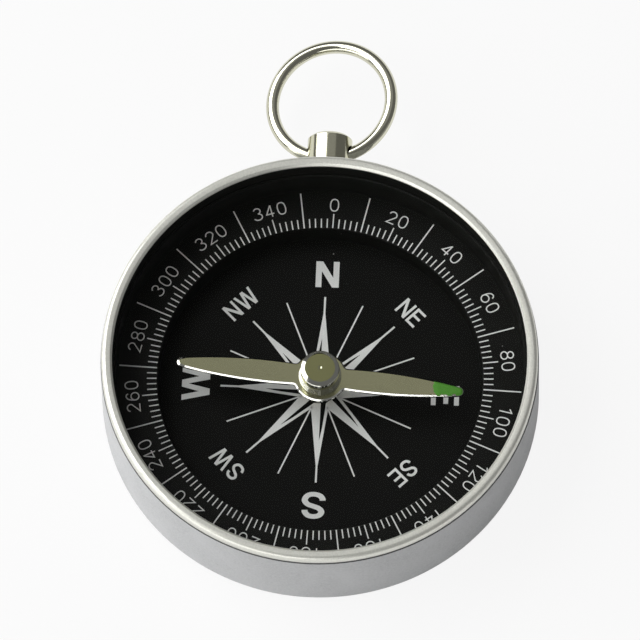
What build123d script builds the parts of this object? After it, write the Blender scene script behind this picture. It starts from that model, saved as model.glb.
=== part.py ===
from build123d import *
import math
import os

# Pocket compass: a round metal case holding a sunken compass rose plate, a raised degree scale,
# a magnetised needle on a pin and a flat crystal under a bezel, with a wire ring on a stem.
# Millimetres and degrees. The origin is the centre of the case's underside, +Z is up through
# the crystal, and +Y points out along the stem.

# Case: a shallow metal cup with a stepped neck for the bezel
case_radius = 25.2
wall_thickness = 1.1
floor_thickness = 1.6
bottom_edge_radius = 1.2
neck_thickness = 0.45
neck_relief = 0.1

# Bezel: a pressed ring with a domed top, whose lip holds the crystal down. It sits a little
# inside the case's wall, which leaves a narrow ledge under it.
bezel_height = 1.23
bezel_ledge = 0.11
rim_width = 1.24
lip_thickness = 0.5
lip_bevel = 0.25
rim_drop = 0.03
rim_edge_radius = 0.5
seam_bevel = 0.06

# Crystal: a flat clear disc
crystal_thickness = 2.0
crystal_bevel = 0.15
cap_headroom = 0.9

# Inserts that drop into the case: dial plate, scale ring and spacer ring
insert_clearance = 0.05
adhesive_thickness = 0.2
adhesive_inset = 1.0
adhesive_hole_clearance = 0.4
dial_thickness = 0.6
scale_width = 5.3
scale_ring_height = 3.35
scale_web = 0.9
scale_skirt = 0.8
scale_edge_radius = 0.15
spacer_thickness = 0.5
spacer_bevel = 0.12

# Pivot: a turned base with a pointed steel pin
base_spigot_radius = 1.2
base_spigot_depth = 0.9
base_flange_radius = 1.6
base_flange_thickness = 0.5
base_boss_height = 0.9
base_boss_wall = 0.5
pin_radius = 0.45
pin_point_length = 1.0
pin_point_radius = 0.06
pivot_clearance = 0.05

# Needle: a leaf shaped steel blade on a turned cap
needle_turn = -4.65
needle_lift = 0.75
needle_tip_clearance = 2.15
needle_thickness = 0.5
needle_hub_radius = 3.05
needle_root_half_width = 1.05
needle_belly_share = 0.6
needle_belly_half_width = 1.27
needle_tip_length = 0.5
needle_tip_half_width = 0.54
needle_corner_radius = 0.5
needle_edge_radius = 0.2
lume_length = 3.5
lume_margin = 0.02
lume_thickness = 0.06

# Needle cap: a beveled head on a low stepped collar, with a bored spigot through the blade
cap_spigot_radius = 1.5
cap_swage_width = 0.25
cap_swage_height = 0.15
cap_bore_radius = 0.95
cap_crown = 1.0
collar_width = 0.22
collar_height = 1.1
collar_steps = 2
head_radius = 2.23
head_height = 1.5
head_bevel_width = 0.5
head_bevel_height = 0.25
dimple_radius = 0.15
dimple_depth = 0.08
washer_width = 0.7
washer_thickness = 0.3
jewel_height = 0.9
jewel_cup_radius = 0.55
jewel_cup_depth = 0.5

# Stem: a turned post riveted through the case wall, with a cross hole for the ring
stem_radius = 2.6
stem_length = 4.75
stem_end_bevel = 0.3
seat_clearance = 0.05
shank_radius = 1.4
rivet_depth = 0.4
rivet_sink = 0.02
hole_standoff = 2.54
hole_clearance = 0.15

# Lanyard ring: bent round wire, closed by a butt seam that sits in the cross hole
ring_radius = 7.0
wire_radius = 0.75
ring_twist = 10.2
ring_seam_gap = 0.15

# Cuts run past the faces they open by this much, and edges are matched within the tolerance
overrun = 1.0
match_tolerance = 0.001

# Radii worked out from the sizes above
case_inner_radius = case_radius - wall_thickness
neck_radius = case_inner_radius + neck_thickness
bezel_radius = case_radius - bezel_ledge
opening_radius = bezel_radius - rim_width
insert_radius = case_inner_radius - insert_clearance
spacer_inner_radius = insert_radius - spacer_thickness
scale_inner_radius = insert_radius - scale_width
needle_half_length = scale_inner_radius - needle_tip_clearance
collar_radius = head_radius + collar_width
rivet_radius = shank_radius + rivet_depth

# Heights worked out from the floor up, with the blade's face just above the scale
dial_bottom = floor_thickness + adhesive_thickness
dial_top = dial_bottom + dial_thickness
scale_top = dial_top + scale_ring_height
needle_top = scale_top + needle_lift
needle_bottom = needle_top - needle_thickness
head_bottom = needle_top + collar_height
cap_top = head_bottom + head_height
bore_top = cap_top - cap_crown
jewel_bottom = bore_top - jewel_height
crystal_bottom = cap_top + cap_headroom
crystal_top = crystal_bottom + crystal_thickness
case_height = crystal_top + lip_thickness
seam_height = case_height - bezel_height
base_bottom = floor_thickness - base_spigot_depth

# The stem sits on a flat spotface whose edge just meets the round wall
seat_radius = stem_radius + seat_clearance
seat_distance = math.sqrt(case_radius**2 - seat_radius**2)
stem_axis_height = case_height / 2
rivet_end = case_inner_radius + rivet_sink
hole_distance = seat_distance + hole_standoff

# The wire curves inside the straight cross hole, so it is centred over its own sag
wire_sag = ring_radius - math.sqrt(ring_radius**2 - stem_radius**2)
ring_offset = ring_radius - wire_sag / 2
hole_radius = wire_radius + wire_sag / 2 + hole_clearance

stem_place = Pos(0, 0, stem_axis_height) * Rot(-90, 0, 0)
hole_place = Pos(0, hole_distance, stem_axis_height) * Rot(0, -ring_twist, 0)
needle_place = Rot(0, 0, needle_turn)


def disc(radius, bottom, top):
    """Round slab about the Z axis between two heights."""
    on_base = (Align.CENTER, Align.CENTER, Align.MIN)
    return Pos(0, 0, bottom) * Cylinder(radius, top - bottom, align=on_base)


def tube(outer_radius, inner_radius, bottom, top):
    """Round ring about the Z axis between two heights."""
    return disc(outer_radius, bottom, top) - disc(inner_radius, bottom - overrun, top + overrun)


def turned(profile):
    """Piece turned about the Z axis from a closed run of (radius, height) points."""
    outline = Polyline([(radius, 0, height) for radius, height in profile], close=True)
    return revolve(make_face(outline), Axis.Z)


def round_edges(piece, radius, height):
    """Full round edges of a piece with this radius at this height."""
    found = []
    for edge in piece.edges().filter_by(GeomType.CIRCLE):
        at_radius = abs(edge.radius - radius) < match_tolerance
        at_height = abs(edge.arc_center.Z - height) < match_tolerance
        if at_radius and at_height:
            found.append(edge)
    return found


def make_case_shell():
    """Cup with a rounded foot, a stepped neck, a pivot socket and the stem's seat."""
    neck_top = crystal_top - neck_relief
    shell = disc(case_radius, 0, seam_height) + disc(neck_radius, seam_height, neck_top)
    shell -= disc(case_inner_radius, floor_thickness, neck_top + overrun)
    shell = fillet(round_edges(shell, case_radius, 0), bottom_edge_radius)
    shell -= disc(base_spigot_radius, base_bottom, floor_thickness + overrun)
    stem_cut = turned([
        (0, case_inner_radius - overrun),
        (rivet_radius, case_inner_radius - overrun),
        (rivet_radius, rivet_end),
        (shank_radius, rivet_end + rivet_depth),
        (shank_radius, seat_distance),
        (seat_radius, seat_distance),
        (seat_radius, case_radius + overrun),
        (0, case_radius + overrun),
    ])
    return shell - stem_place * stem_cut


def make_bezel_ring():
    """Domed rim pressed over the neck, with a lip above the crystal's edge."""
    shoulder = (bezel_radius, 0, case_height - rim_edge_radius)
    crest = (bezel_radius - rim_edge_radius, 0, case_height)
    lip = (opening_radius + lip_bevel, 0, case_height - rim_drop)
    below = Polyline([
        lip,
        (opening_radius, 0, case_height - rim_drop - lip_bevel),
        (opening_radius, 0, crystal_top),
        (neck_radius, 0, crystal_top),
        (neck_radius, 0, seam_height),
        (bezel_radius - seam_bevel, 0, seam_height),
        (bezel_radius, 0, seam_height + seam_bevel),
        shoulder,
    ])
    outside = TangentArc(shoulder, crest, tangent=(0, 0, 1))
    inside = TangentArc(crest, lip, tangent=(-1, 0, 0))
    return revolve(make_face([*below.edges(), outside, inside]), Axis.Z)


def make_crystal():
    """Clear disc with both edges broken, between the spacer and the bezel's lip."""
    pane = disc(insert_radius, crystal_bottom, crystal_top)
    edges = round_edges(pane, insert_radius, crystal_bottom)
    edges += round_edges(pane, insert_radius, crystal_top)
    return chamfer(edges, crystal_bevel)


def make_spacer_ring():
    """Dark sleeve that stands on the scale ring and carries the crystal."""
    sleeve = tube(insert_radius, spacer_inner_radius, scale_top, crystal_bottom)
    return chamfer(round_edges(sleeve, spacer_inner_radius, crystal_bottom), spacer_bevel)


def make_scale_ring():
    """Moulded channel, open below, whose flat top carries the degree scale."""
    ring = tube(insert_radius, scale_inner_radius, dial_top, scale_top)
    outer = insert_radius - scale_skirt
    inner = scale_inner_radius + scale_skirt
    ring -= tube(outer, inner, dial_top - overrun, scale_top - scale_web)
    return fillet(round_edges(ring, scale_inner_radius, scale_top), scale_edge_radius)


def make_dial_plate():
    """Sunken plate that carries the compass rose."""
    return tube(insert_radius, base_spigot_radius, dial_bottom, dial_top)


def make_dial_adhesive():
    """Thin adhesive disc between the dial plate and the case floor."""
    hole = base_spigot_radius + adhesive_hole_clearance
    return tube(insert_radius - adhesive_inset, hole, floor_thickness, dial_bottom)


def make_pivot_base():
    """Flanged bush pressed through the dial plate into the case floor."""
    flange_top = dial_top + base_flange_thickness
    boss_radius = pin_radius + base_boss_wall
    return turned([
        (pin_radius, base_bottom),
        (base_spigot_radius, base_bottom),
        (base_spigot_radius, dial_top),
        (base_flange_radius, dial_top),
        (base_flange_radius, flange_top),
        (boss_radius, flange_top + base_boss_height),
        (pin_radius, flange_top + base_boss_height),
    ])


def make_pivot_pin():
    """Pointed pin that stops just under the bottom of the jewel's cup."""
    point = jewel_bottom + jewel_cup_depth - pivot_clearance
    return turned([
        (0, base_bottom),
        (pin_radius, base_bottom),
        (pin_radius, point - pin_point_length),
        (pin_point_radius, point),
        (0, point),
    ])


def blade_arm(inset):
    """Flat outline of one arm of the blade along +X, drawn in from its edge."""
    root = needle_root_half_width - inset
    belly = needle_belly_half_width - inset
    tip = needle_tip_half_width - inset
    end = needle_half_length - inset
    middle = needle_half_length * needle_belly_share
    shoulder = needle_half_length - needle_tip_length
    return make_face([
        ThreePointArc((0, root), (middle, belly), (shoulder, tip)),
        ThreePointArc((shoulder, tip), (end, 0), (shoulder, -tip)),
        ThreePointArc((shoulder, -tip), (middle, -belly), (0, -root)),
        Line((0, -root), (0, root)),
    ])


def make_needle_blade():
    """Two arms and a round hub in one sheet, holed for the cap, with softened top edges."""
    arm = blade_arm(0)
    outline = Circle(needle_hub_radius) + arm + Rot(0, 0, 180) * arm
    corners = []
    for corner in outline.vertices():
        if abs(math.hypot(corner.X, corner.Y) - needle_hub_radius) < match_tolerance:
            corners.append(corner)
    outline = fillet(corners, needle_corner_radius)
    blade = extrude(Pos(0, 0, needle_bottom) * outline, needle_thickness)
    rim = blade.faces().sort_by(Axis.Z)[-1].outer_wire().edges()
    blade = fillet(rim, needle_edge_radius)
    return needle_place * (blade - disc(cap_spigot_radius, needle_bottom, needle_top))


def make_needle_lume():
    """Film of luminous paint on the north end of the blade."""
    arm = blade_arm(needle_edge_radius + lume_margin)
    middle = needle_half_length - lume_length / 2
    patch = arm & (Pos(middle, 0) * Rectangle(lume_length, 2 * needle_hub_radius))
    return needle_place * extrude(Pos(0, 0, needle_top) * patch, lume_thickness)


def make_needle_cap():
    """Turned cap: bored spigot spun over below, stepped collar and beveled head above."""
    washer_bottom = needle_bottom - washer_thickness
    spigot_bottom = washer_bottom - cap_swage_height
    profile = [
        (cap_bore_radius, spigot_bottom),
        (cap_spigot_radius + cap_swage_width, spigot_bottom),
        (cap_spigot_radius + cap_swage_width, washer_bottom),
        (cap_spigot_radius, washer_bottom),
        (cap_spigot_radius, needle_top),
    ]
    for step in range(collar_steps):
        radius = collar_radius - collar_width * step / collar_steps
        profile.append((radius, needle_top + collar_height * step / collar_steps))
        profile.append((radius, needle_top + collar_height * (step + 1) / collar_steps))
    profile += [
        (head_radius, head_bottom),
        (head_radius, cap_top - head_bevel_height),
        (head_radius - head_bevel_width, cap_top),
        (dimple_radius, cap_top),
        (0, cap_top - dimple_depth),
        (0, bore_top),
        (cap_bore_radius, bore_top),
    ]
    return turned(profile)


def make_needle_jewel():
    """Cupped bearing at the end of the cap's bore."""
    return turned([
        (jewel_cup_radius, jewel_bottom),
        (cap_bore_radius, jewel_bottom),
        (cap_bore_radius, bore_top),
        (0, bore_top),
        (0, jewel_bottom + jewel_cup_depth),
    ])


def make_needle_washer():
    """Washer under the blade, held by the cap's spun end."""
    outer = cap_spigot_radius + washer_width
    return tube(outer, cap_spigot_radius, needle_bottom - washer_thickness, needle_bottom)


def make_stem():
    """Post with a broken end, a shank riveted inside the wall and a cross hole."""
    stem_end = seat_distance + stem_length
    post = turned([
        (0, rivet_end),
        (rivet_radius, rivet_end),
        (shank_radius, rivet_end + rivet_depth),
        (shank_radius, seat_distance),
        (stem_radius, seat_distance),
        (stem_radius, stem_end - stem_end_bevel),
        (stem_radius - stem_end_bevel, stem_end),
        (0, stem_end),
    ])
    reach = stem_radius + overrun
    return stem_place * post - hole_place * Rot(0, 90, 0) * disc(hole_radius, -reach, reach)


def make_lanyard_ring():
    """Round wire bent into a ring through the stem's cross hole."""
    seam_angle = math.degrees(ring_seam_gap / ring_radius)
    section = Plane.XZ * Pos(ring_radius, 0) * Circle(wire_radius)
    wire = revolve(section, Axis.Z, 360 - seam_angle)
    return hole_place * Pos(0, ring_offset, 0) * Rot(0, 0, seam_angle / 2 - 90) * wire


pieces = {
    "case_shell": make_case_shell,
    "bezel_ring": make_bezel_ring,
    "crystal": make_crystal,
    "spacer_ring": make_spacer_ring,
    "scale_ring": make_scale_ring,
    "dial_plate": make_dial_plate,
    "dial_adhesive": make_dial_adhesive,
    "pivot_base": make_pivot_base,
    "pivot_pin": make_pivot_pin,
    "needle_blade": make_needle_blade,
    "needle_lume": make_needle_lume,
    "needle_cap": make_needle_cap,
    "needle_jewel": make_needle_jewel,
    "needle_washer": make_needle_washer,
    "stem": make_stem,
    "lanyard_ring": make_lanyard_ring,
}

os.makedirs("parts", exist_ok=True)
for name, make in pieces.items():
    export_step(make(), f"parts/{name}.step")
print("case height", round(case_height, 3), "stem axis height", round(stem_axis_height, 3))
print("cross hole distance", round(hole_distance, 4), "hole radius", round(hole_radius, 4))
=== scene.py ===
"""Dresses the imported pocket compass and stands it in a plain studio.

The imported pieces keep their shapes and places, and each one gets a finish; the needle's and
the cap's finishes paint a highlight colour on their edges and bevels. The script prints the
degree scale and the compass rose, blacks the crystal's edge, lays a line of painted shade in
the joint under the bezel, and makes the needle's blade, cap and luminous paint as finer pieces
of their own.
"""

import logging
import math
import random
from dataclasses import dataclass
from enum import Enum
from typing import ClassVar, Dict, List, Optional, Sequence, Tuple, Union

import bpy
from mathutils import Matrix, Vector


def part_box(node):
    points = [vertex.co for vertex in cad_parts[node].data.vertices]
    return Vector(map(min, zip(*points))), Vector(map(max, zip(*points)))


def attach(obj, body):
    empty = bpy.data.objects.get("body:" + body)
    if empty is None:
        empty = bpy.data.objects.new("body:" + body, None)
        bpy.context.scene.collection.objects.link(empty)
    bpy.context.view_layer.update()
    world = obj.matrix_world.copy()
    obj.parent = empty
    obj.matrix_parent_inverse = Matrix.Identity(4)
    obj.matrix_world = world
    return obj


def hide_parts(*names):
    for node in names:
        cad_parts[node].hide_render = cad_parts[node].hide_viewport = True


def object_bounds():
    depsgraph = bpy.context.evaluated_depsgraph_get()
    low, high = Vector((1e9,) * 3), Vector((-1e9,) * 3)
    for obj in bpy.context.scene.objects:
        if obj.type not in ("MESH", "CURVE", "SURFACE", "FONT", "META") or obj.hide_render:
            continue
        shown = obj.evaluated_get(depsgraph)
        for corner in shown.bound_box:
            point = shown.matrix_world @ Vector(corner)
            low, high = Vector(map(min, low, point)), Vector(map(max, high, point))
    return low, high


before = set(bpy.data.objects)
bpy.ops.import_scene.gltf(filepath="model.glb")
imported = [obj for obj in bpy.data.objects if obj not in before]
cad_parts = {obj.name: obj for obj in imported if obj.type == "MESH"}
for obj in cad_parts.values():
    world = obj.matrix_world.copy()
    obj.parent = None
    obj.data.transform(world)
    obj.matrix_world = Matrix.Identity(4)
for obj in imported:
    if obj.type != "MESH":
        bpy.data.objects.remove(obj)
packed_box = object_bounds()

Point = Tuple[float, float]
Triple = Tuple[float, float, float]
Socket = bpy.types.NodeSocket
Value = Union[float, Sequence[float], Socket]

LOG = logging.getLogger("pocket_compass")
MM = 0.001
MICRON = 0.000001
MM_PER_METRE = 1000.0
IMAGE_SIDE = 640
RISING: Point = (0.0, 1.0)
FALLING: Point = (1.0, 0.0)


class Turning(Enum):
    """The line that a turned piece was turned about."""

    CASE_AXIS = "case axis"
    STEM_AXIS = "stem axis"


class Effect(Enum):
    """Surface effects that several finishes share."""

    TURNED_LINES = "turned_lines"
    FINE_GRAIN = "fine_grain"
    HANDLING_MARKS = "handling_marks"
    DUST_SPECKS = "dust_specks"


class TickKind(Enum):
    """Lengths of mark on the degree scale."""

    SHORT = "short"
    MIDDLE = "middle"
    LONG = "long"


class Graph:
    """Adds and joins the nodes of one shader tree."""

    edge_facing: ClassVar[Point] = (0.92, 0.985)

    def __init__(self, tree: bpy.types.NodeTree) -> None:
        """Keeps the tree that the nodes go into."""
        self.tree = tree

    def feed(self, socket: Socket, value: Value) -> None:
        """Joins a socket to another one, or sets its value.

        Args:
            socket: input to fill.
            value: socket to join, or a plain value.
        """
        if isinstance(value, Socket):
            self.tree.links.new(value, socket)
        else:
            socket.default_value = value

    def node(
        self,
        kind: str,
        inputs: Optional[Dict[Union[str, int], Value]] = None,
        **settings: object,
    ) -> bpy.types.Node:
        """Adds a node.

        Args:
            kind: Blender's name for the node.
            inputs: values or sockets for its inputs, by name or number.
            settings: options to set on the node.

        Returns:
            The new node.
        """
        new = self.tree.nodes.new(kind)
        for name, setting in settings.items():
            setattr(new, name, setting)
        for key, value in (inputs or {}).items():
            self.feed(new.inputs[key], value)
        return new

    def calc(self, operation: str, first: Value, second: Value = 0.0) -> Socket:
        """Gives the result of one step on two numbers, by Blender's name for the step."""
        step = self.node("ShaderNodeMath", {0: first, 1: second}, operation=operation)
        return step.outputs[0]

    def weigh(self, first: Value, share: float, second: Value, other: float) -> Socket:
        """Gives the sum of two numbers, each times its own share."""
        part = self.calc("MULTIPLY", first, share)
        return self.calc("ADD", part, self.calc("MULTIPLY", second, other))

    def spread(self, value: Value, source: Point, target: Point) -> Socket:
        """Stretches a number from one range to another and holds it inside.

        Args:
            value: number to stretch.
            source: lowest and highest value that comes in.
            target: lowest and highest value that goes out.

        Returns:
            The socket with the result.
        """
        step = self.node(
            "ShaderNodeMapRange",
            {0: value, 1: source[0], 2: source[1], 3: target[0], 4: target[1]},
        )
        return step.outputs[0]

    def tint(self, share: Value, first: Value, second: Value) -> Socket:
        """Mixes two colours, through the mix node's colour inputs, 6 and 7.

        Args:
            share: 0 for the first colour and 1 for the second.
            first: colour at 0.
            second: colour at 1.

        Returns:
            The socket with the mixed colour.
        """
        step = self.node(
            "ShaderNodeMix",
            {0: share, 6: opaque(first), 7: opaque(second)},
            data_type="RGBA",
        )
        return step.outputs[2]

    def bump(self, height: Value, distance: float, normal: Optional[Value] = None) -> Socket:
        """Gives the normal of a surface with a fine relief on it.

        Args:
            height: share of the full relief.
            distance: full relief in metres.
            normal: normal under the relief, or None for the mesh's own.

        Returns:
            The socket with the normal.
        """
        inputs: Dict[Union[str, int], Value] = {"Distance": distance, "Height": height}
        if normal is not None:
            inputs["Normal"] = normal
        return self.node("ShaderNodeBump", inputs).outputs[0]

    def place(self, turning: Turning = Turning.CASE_AXIS) -> Socket:
        """Gives the point on the piece in millimetres, with the turning line along Z.

        Args:
            turning: line that the piece was turned about.

        Returns:
            The socket with the point.
        """
        turn = shift = (0.0, 0.0, 0.0)
        if turning is Turning.STEM_AXIS:
            low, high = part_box("stem")
            turn = (math.pi / 2, 0.0, 0.0)
            shift = (0.0, (low[2] + high[2]) / 2 * MM_PER_METRE, 0.0)
        step = self.node(
            "ShaderNodeMapping",
            {
                "Vector": self.node("ShaderNodeTexCoord").outputs["Object"],
                "Location": shift,
                "Rotation": turn,
                "Scale": (MM_PER_METRE,) * 3,
            },
        )
        return step.outputs[0]

    def edges(self) -> Socket:
        """Marks the cut edges of a flat piece, which don't face up or down, where a highlight
        colour is painted.

        Returns:
            The socket with 1 on the edges and 0 on the faces.
        """
        facing = self.node("ShaderNodeTexCoord").outputs["Normal"]
        level = self.node("ShaderNodeSeparateXYZ", {0: facing}).outputs[2]
        return self.spread(self.calc("ABSOLUTE", level), self.edge_facing, FALLING)

    def effect(self, kind: Effect, **values: Value) -> bpy.types.Node:
        """Places a shared surface effect.

        Args:
            kind: effect to place.
            values: its inputs, with underscores for the spaces in their names.

        Returns:
            The node of the effect.
        """
        step = self.node("ShaderNodeGroup", node_tree=SurfaceEffects.tree(kind))
        for name, value in values.items():
            self.feed(step.inputs[name.replace("_", " ")], value)
        return step


class SurfaceEffects:
    """The shared surface effects, each made once as a shader group."""

    made: ClassVar[Dict[Effect, bpy.types.NodeTree]] = {}
    grain_range: ClassVar[Point] = (0.28, 0.72)
    smudge_range: ClassVar[Point] = (0.32, 0.68)
    worn_range: ClassVar[Point] = (0.52, 0.66)
    scratch_range: ClassVar[Point] = (0.0, 0.02)
    scratch_turn: ClassVar[Triple] = (0.4, 0.2, 0.9)
    scratch_draw: ClassVar[Triple] = (1.0, 0.06, 1.0)
    speck_range: ClassVar[Point] = (0.05, 0.11)

    @classmethod
    def tree(cls, kind: Effect) -> bpy.types.NodeTree:
        """Gives an effect's group, which is made on its first use.

        Args:
            kind: effect that is wanted.

        Returns:
            The shader group.
        """
        if kind not in cls.made:
            makers = {
                Effect.TURNED_LINES: cls.turned_lines,
                Effect.FINE_GRAIN: cls.fine_grain,
                Effect.HANDLING_MARKS: cls.handling_marks,
                Effect.DUST_SPECKS: cls.dust_specks,
            }
            cls.made[kind] = makers[kind]()
        return cls.made[kind]

    @staticmethod
    def start(
        kind: Effect, inputs: Dict[str, float], outputs: Sequence[str]
    ) -> Tuple[Graph, bpy.types.Node, bpy.types.Node]:
        """Starts a group with its sockets.

        Args:
            kind: effect that the group is for.
            inputs: number inputs and their usual values.
            outputs: names of the number outputs.

        Returns:
            The graph of the group, its input node and its output node.
        """
        tree = bpy.data.node_groups.new(kind.value, "ShaderNodeTree")
        tree.interface.new_socket("Place", in_out="INPUT", socket_type="NodeSocketVector")
        for name, usual in inputs.items():
            socket = tree.interface.new_socket(
                name, in_out="INPUT", socket_type="NodeSocketFloat"
            )
            socket.default_value = usual
        for name in outputs:
            tree.interface.new_socket(name, in_out="OUTPUT", socket_type="NodeSocketFloat")
        graph = Graph(tree)
        return graph, graph.node("NodeGroupInput"), graph.node("NodeGroupOutput")

    @classmethod
    def turned_lines(cls) -> bpy.types.NodeTree:
        """Makes fine rings left by a lathe tool around the Z axis.

        Returns:
            The shader group.
        """
        graph, given, result = cls.start(
            Effect.TURNED_LINES, {"Lines per mm": 6.0}, ["Lines"]
        )
        parts = graph.node("ShaderNodeSeparateXYZ", {0: given.outputs["Place"]})
        across = graph.node(
            "ShaderNodeCombineXYZ", {0: parts.outputs[0], 1: parts.outputs[1]}
        )
        reach = graph.node("ShaderNodeVectorMath", {0: across.outputs[0]}, operation="LENGTH")
        run = graph.calc("ADD", reach.outputs["Value"], parts.outputs[2])
        run = graph.calc("MULTIPLY", run, given.outputs["Lines per mm"])
        lines = graph.node(
            "ShaderNodeTexNoise",
            {"W": run, "Scale": 1.0, "Detail": 2.0, "Roughness": 0.6},
            noise_dimensions="1D",
        )
        graph.feed(result.inputs["Lines"], lines.outputs[0])
        return graph.tree

    @classmethod
    def fine_grain(cls) -> bpy.types.NodeTree:
        """Makes the even grain of a blasted or moulded surface.

        Returns:
            The shader group.
        """
        graph, given, result = cls.start(
            Effect.FINE_GRAIN, {"Grains per mm": 8.0}, ["Grain"]
        )
        grain = graph.node(
            "ShaderNodeTexNoise",
            {
                "Vector": given.outputs["Place"],
                "Scale": given.outputs["Grains per mm"],
                "Detail": 2.0,
                "Roughness": 0.65,
            },
        )
        grain_share = graph.spread(grain.outputs[0], cls.grain_range, RISING)
        graph.feed(result.inputs["Grain"], grain_share)
        return graph.tree

    @classmethod
    def handling_marks(cls) -> bpy.types.NodeTree:
        """Makes soft smudges and short hairline scratches.

        Returns:
            The shader group.
        """
        graph, given, result = cls.start(
            Effect.HANDLING_MARKS,
            {"Smudges per mm": 0.2, "Scratches per mm": 0.5},
            ["Smudge", "Scratch"],
        )
        smudge = graph.node(
            "ShaderNodeTexNoise",
            {
                "Vector": given.outputs["Place"],
                "Scale": given.outputs["Smudges per mm"],
                "Detail": 4.0,
                "Roughness": 0.55,
                "Distortion": 0.6,
            },
        )
        smudge_share = graph.spread(smudge.outputs[0], cls.smudge_range, RISING)
        graph.feed(result.inputs["Smudge"], smudge_share)
        drawn = graph.node(
            "ShaderNodeMapping",
            {
                "Vector": given.outputs["Place"],
                "Rotation": cls.scratch_turn,
                "Scale": cls.scratch_draw,
            },
        )
        cells = graph.node(
            "ShaderNodeTexVoronoi",
            {"Vector": drawn.outputs[0], "Scale": given.outputs["Scratches per mm"]},
            feature="DISTANCE_TO_EDGE",
        )
        line = graph.spread(cells.outputs["Distance"], cls.scratch_range, FALLING)
        patch = graph.spread(smudge.outputs[0], cls.worn_range, RISING)
        graph.feed(result.inputs["Scratch"], graph.calc("MULTIPLY", line, patch))
        return graph.tree

    @classmethod
    def dust_specks(cls) -> bpy.types.NodeTree:
        """Makes sparse specks of dust.

        Returns:
            The shader group.
        """
        graph, given, result = cls.start(
            Effect.DUST_SPECKS, {"Specks per mm": 1.2, "Share": 0.1}, ["Dust"]
        )
        cells = graph.node(
            "ShaderNodeTexVoronoi",
            {"Vector": given.outputs["Place"], "Scale": given.outputs["Specks per mm"]},
        )
        speck = graph.spread(cells.outputs["Distance"], cls.speck_range, FALLING)
        picked = graph.node("ShaderNodeSeparateColor", {0: cells.outputs["Color"]})
        kept = graph.calc("LESS_THAN", picked.outputs[0], given.outputs["Share"])
        graph.feed(result.inputs["Dust"], graph.calc("MULTIPLY", speck, kept))
        return graph.tree


def opaque(color: Value) -> Value:
    """Adds full opacity to a plain colour and leaves a socket as it is."""
    return color if isinstance(color, Socket) else (*color, 1.0)


class Finish:
    """A surface that can be put on pieces. Its material is made once."""

    made: ClassVar[Dict[str, bpy.types.Material]] = {}
    name: str

    def material(self) -> bpy.types.Material:
        """Gives the finish's material, which is made on its first use.

        Returns:
            The material.
        """
        if self.name not in Finish.made:
            made = bpy.data.materials.new(self.name)
            made.use_nodes = True
            made.node_tree.nodes.clear()
            graph = Graph(made.node_tree)
            surface = self.surface(graph)
            graph.node("ShaderNodeOutputMaterial", {"Surface": surface})
            Finish.made[self.name] = made
        return Finish.made[self.name]

    def surface(self, graph: Graph) -> Socket:
        """Builds the shader in a material's graph and gives its socket."""
        raise NotImplementedError(self.name)


@dataclass(frozen=True)
class MetalFinish(Finish):
    """Bare or plated metal with grain, tool lines and handling marks, and where set a painted
    highlight colour on its edges and bevels.
    """

    name: str
    light: Triple
    dark: Triple
    smooth: float
    rough: float
    grains_per_mm: float = 9.0
    grain_height: float = 2 * MICRON
    grain_haze: float = 0.4
    even_grain: float = 0.0
    lines_per_mm: float = 5.0
    line_height: float = 0.0
    smudges_per_mm: float = 0.18
    smudge_haze: float = 0.6
    scratch_share: float = 0.25
    metal_share: float = 1.0
    gloss: float = 0.5
    # Highlight colour painted on the faces that don't face up or down, or None for none.
    edge_light: Optional[Triple] = None
    turning: Turning = Turning.CASE_AXIS

    def surface(self, graph: Graph) -> Socket:
        """Builds a metal shader from the shared effects.

        Args:
            graph: graph of the material.

        Returns:
            The socket with the shader.
        """
        place = graph.place(self.turning)
        grain = graph.effect(
            Effect.FINE_GRAIN, Place=place, Grains_per_mm=self.grains_per_mm
        ).outputs["Grain"]
        marks = graph.effect(
            Effect.HANDLING_MARKS, Place=place, Smudges_per_mm=self.smudges_per_mm
        )
        smudge = marks.outputs["Smudge"]
        wear = graph.calc("MULTIPLY", marks.outputs["Scratch"], self.scratch_share)
        cover = graph.spread(smudge, RISING, (self.even_grain, 1.0))
        worn = graph.calc("ADD", graph.calc("MULTIPLY", grain, cover), wear)
        color = graph.tint(worn, self.light, self.dark)
        # Paints a highlight colour on the faces that don't face up or down: cut edges and
        # bevels.
        if self.edge_light:
            color = graph.tint(graph.edges(), color, self.edge_light)
        haze = graph.weigh(grain, self.grain_haze, smudge, self.smudge_haze)
        haze = graph.calc("ADD", haze, wear)
        normal = graph.bump(grain, self.grain_height)
        if self.line_height:
            lines = graph.effect(
                Effect.TURNED_LINES, Place=place, Lines_per_mm=self.lines_per_mm
            )
            normal = graph.bump(lines.outputs["Lines"], self.line_height, normal)
        shader = graph.node(
            "ShaderNodeBsdfPrincipled",
            {
                "Base Color": color,
                "Metallic": self.metal_share,
                "Roughness": graph.spread(haze, RISING, (self.smooth, self.rough)),
                "Specular IOR Level": self.gloss,
                "Normal": normal,
            },
        )
        return shader.outputs[0]


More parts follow.
